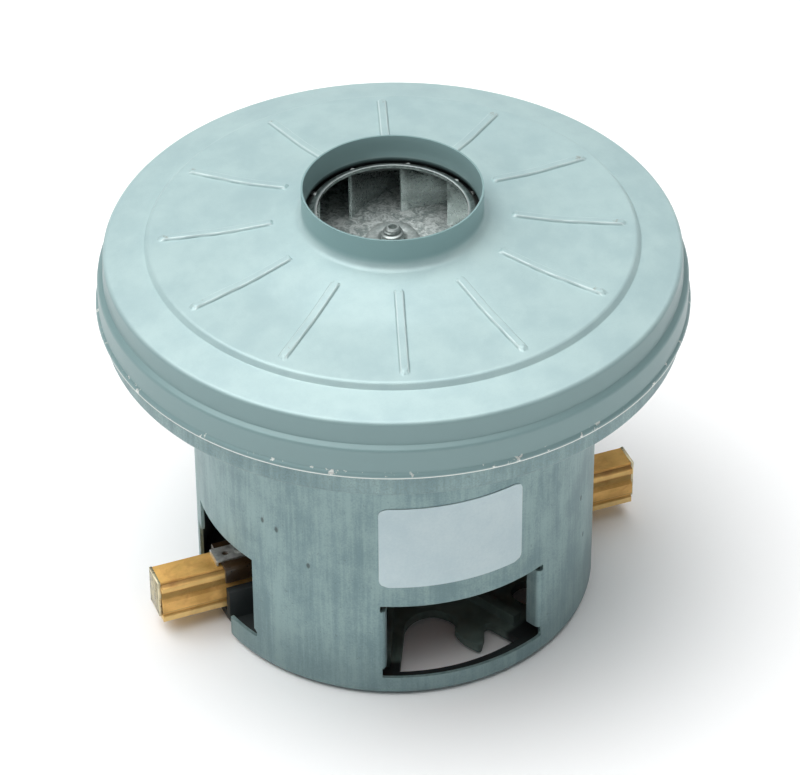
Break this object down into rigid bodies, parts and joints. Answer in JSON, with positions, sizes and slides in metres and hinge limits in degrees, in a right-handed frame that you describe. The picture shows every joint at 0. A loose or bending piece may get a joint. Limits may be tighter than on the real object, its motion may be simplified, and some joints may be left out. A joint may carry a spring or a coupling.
{
  "type": "vacuum cleaner motor",
  "caption": "Single-stage suction motor: drawn steel can, ribbed steel fan cover with an inlet collar, brass brush holders and a commutator rotor with an enclosed fan.",
  "frame": {"origin": "on the shaft axis in the plane of the can's foot", "axes": "+Z along the shaft towards the inlet collar, X along the brush holders, -Y towards the front cooling window under the label"},
  "size_m": [0.134, 0.134, 0.1096],
  "materials": {
    "cover_steel": "satin pale cyan coating",
    "frame_steel": "galvanised, with draw marks",
    "label_film": "plain adhesive film",
    "brass": "tarnished",
    "cap_metal": "yellow passivated",
    "tag_metal": "tin plated",
    "black_moulding": "matt black",
    "fan_alloy": "mottled sheet",
    "bright_steel": "bright",
    "plate_steel": "plain",
    "lamination": "stamped laminations",
    "copper_wire": "varnished copper",
    "copper_bar": "turned copper",
    "hub_moulding": "brown moulding",
    "slot_liner": "red insulating board",
    "bobbin_film": "off-white nylon",
    "lead_cover": "black insulation",
    "carbon": "graphite",
    "cage_moulding": "moulded"
  },
  "bodies": {
    "housing": {"motor_frame": "frame_steel", "rating_label": "label_film", "fan_cover": "cover_steel", "diffuser": "black_moulding", "fan_end_bracket": "plate_steel", "bearing_retainer": "plate_steel", "retainer_screws": "bright_steel", "bracket_rivets": "plate_steel", "preload_washer": "bright_steel", "fan_end_race_outer": "bright_steel", "fan_end_shields": "plate_steel", "brush_end_bracket": "black_moulding", "brush_bracket_screws": "bright_steel", "brush_end_race_outer": "bright_steel", "brush_end_shields": "plate_steel", "field_core": "lamination", "field_bobbins": "bobbin_film", "field_coil_front": "copper_wire", "field_coil_rear": "copper_wire", "field_leads": "lead_cover", "brush_holder_left": "brass", "brush_holder_right": "brass", "brush_sleeve_left": "black_moulding", "brush_sleeve_right": "black_moulding", "brush_cap_left": "cap_metal", "brush_cap_right": "cap_metal", "terminal_tag_left": "tag_metal", "terminal_tag_right": "tag_metal", "brush_spring_left": "bright_steel", "brush_spring_right": "bright_steel"},
    "rotor": {"shaft": "bright_steel", "armature_core": "lamination", "armature_end_discs": "slot_liner", "armature_winding": "copper_wire", "commutator_hub": "hub_moulding", "commutator_bars": "copper_bar", "fan_end_race_inner": "bright_steel", "brush_end_race_inner": "bright_steel", "fan_sleeve": "bright_steel", "fan_washers": "bright_steel", "fan_nut": "bright_steel", "fan_back_plate": "fan_alloy", "fan_blades": "fan_alloy", "fan_front_plate": "fan_alloy", "fan_tabs": "fan_alloy"},
    "fan_end_cage": {"fan_end_balls": "bright_steel", "fan_end_cage": "cage_moulding"},
    "brush_end_cage": {"brush_end_balls": "bright_steel", "brush_end_cage": "cage_moulding"},
    "brush_left": {"carbon_brush_left": "carbon"},
    "brush_right": {"carbon_brush_right": "carbon"}
  },
  "joints": [
    {"name": "rotor_spin", "type": "hinge", "parent": "housing", "child": "rotor", "pos_m": [0, 0, 0.05], "axis": [0, 0, 1], "continuous": true},
    {"name": "fan_end_cage_spin", "type": "hinge", "parent": "housing", "child": "fan_end_cage", "pos_m": [0, 0, 0.0735], "axis": [0, 0, 1], "continuous": true},
    {"name": "brush_end_cage_spin", "type": "hinge", "parent": "housing", "child": "brush_end_cage", "pos_m": [0, 0, 0.0031], "axis": [0, 0, 1], "continuous": true},
    {"name": "brush_left_slide", "type": "slide", "parent": "housing", "child": "brush_left", "axis": [-1, 0, 0], "range_m": [0, 0.012], "stiffness_N_per_m": 150, "springref_m": -0.012, "deforming": ["brush_spring_left"]},
    {"name": "brush_right_slide", "type": "slide", "parent": "housing", "child": "brush_right", "axis": [1, 0, 0], "range_m": [0, 0.012], "stiffness_N_per_m": 150, "springref_m": -0.012, "deforming": ["brush_spring_right"]}
  ],
  "couplings": [
    {"joint": "fan_end_cage_spin", "follows": "rotor_spin", "ratio": 0.367},
    {"joint": "brush_end_cage_spin", "follows": "rotor_spin", "ratio": 0.3813}
  ]
}
